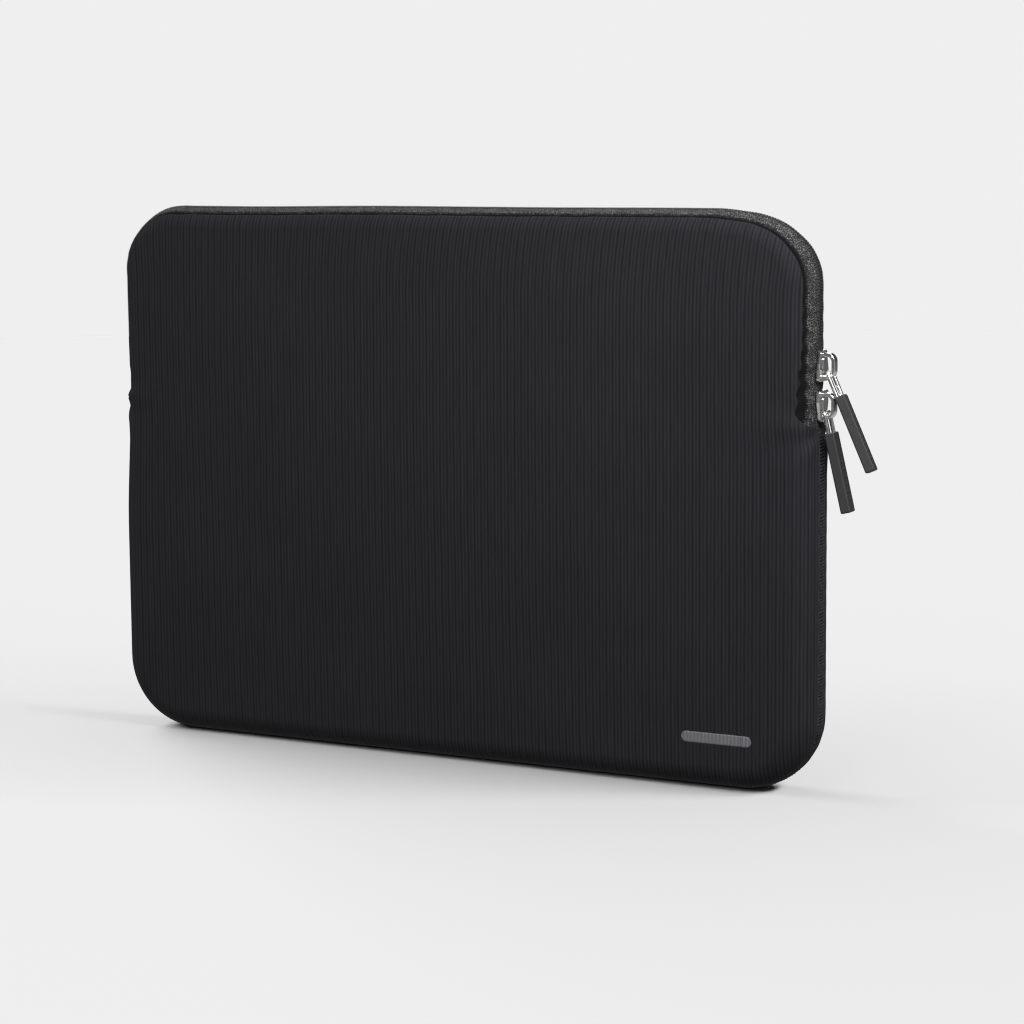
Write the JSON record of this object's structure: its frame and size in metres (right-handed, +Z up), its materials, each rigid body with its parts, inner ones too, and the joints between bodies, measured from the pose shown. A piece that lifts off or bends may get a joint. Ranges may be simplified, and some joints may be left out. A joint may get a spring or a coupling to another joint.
{
  "type": "laptop sleeve",
  "caption": "Padded laptop sleeve with a ribbed knit face and a curved coil zipper over the top; two sliders with hinged pulls, and a front flap that folds open.",
  "frame": {"origin": "middle of the bottom fold in width and thickness, on the surface the sleeve stands on", "axes": "+Z up towards the zipper, +X towards the side the sliders are parked on, -Y out of the front face"},
  "size_m": [0.3604, 0.0251, 0.236],
  "materials": {
    "rib_fabric": "ribbed knit, soft matt",
    "foam": "closed-cell foam, matt",
    "lining": "brushed plush, matt",
    "zipper_tape": "woven tape, matt",
    "zipper_coil": "nylon coil, semi-matt",
    "binding": "woven binding, matt",
    "thread": "overlock thread, matt",
    "print": "screen print, matt",
    "slider_metal": "polished nickel plate",
    "spring_steel": "satin",
    "grip_rubber": "moulded, matt"
  },
  "bodies": {
    "shell": {"shell_face_fabric": "rib_fabric", "shell_foam_core": "foam", "shell_lining": "lining", "rear_zipper_tape": "zipper_tape", "rear_zipper_coil": "zipper_coil", "rear_seam_binding": "binding", "zipper_end_tab_right": "binding", "zipper_end_tab_left": "binding", "side_seam_stitching_right": "thread", "side_seam_stitching_left": "thread", "printed_mark": "print"},
    "front_flap": {"front_flap_face_fabric": "rib_fabric", "front_flap_foam_core": "foam", "front_flap_lining": "lining", "front_zipper_tape": "zipper_tape", "front_zipper_coil": "zipper_coil", "front_seam_binding": "binding"},
    "lower_slider": {"lower_slider_body": "slider_metal", "lower_slider_crown": "slider_metal", "lower_slider_lock_spring": "spring_steel"},
    "upper_slider": {"upper_slider_body": "slider_metal", "upper_slider_crown": "slider_metal", "upper_slider_lock_spring": "spring_steel"},
    "lower_pull": {"lower_pull_bail": "slider_metal", "lower_pull_grip": "grip_rubber"},
    "upper_pull": {"upper_pull_bail": "slider_metal", "upper_pull_grip": "grip_rubber"}
  },
  "joints": [
    {"name": "flap_fold", "type": "hinge", "parent": "shell", "child": "front_flap", "pos_m": [0, -0.0126, 0.15], "axis": [1, 0, 0], "range_deg": [0, 80]},
    {"name": "upper_slider_slide", "type": "slide", "parent": "shell", "child": "upper_slider", "axis": [0, 0, 1], "range_m": [0, 0.025]},
    {"name": "lower_slider_slide", "type": "slide", "parent": "shell", "child": "lower_slider", "axis": [0, 0, 1], "range_m": [0, 0.002]},
    {"name": "upper_pull_swing", "type": "hinge", "parent": "upper_slider", "child": "upper_pull", "pos_m": [0.1719, 0, 0.1716], "axis": [0, -1, 0], "range_deg": [0, 125]},
    {"name": "lower_pull_swing", "type": "hinge", "parent": "lower_slider", "child": "lower_pull", "pos_m": [0.17075, 0, 0.1556], "axis": [0, -1, 0], "range_deg": [-8, 11]}
  ]
}
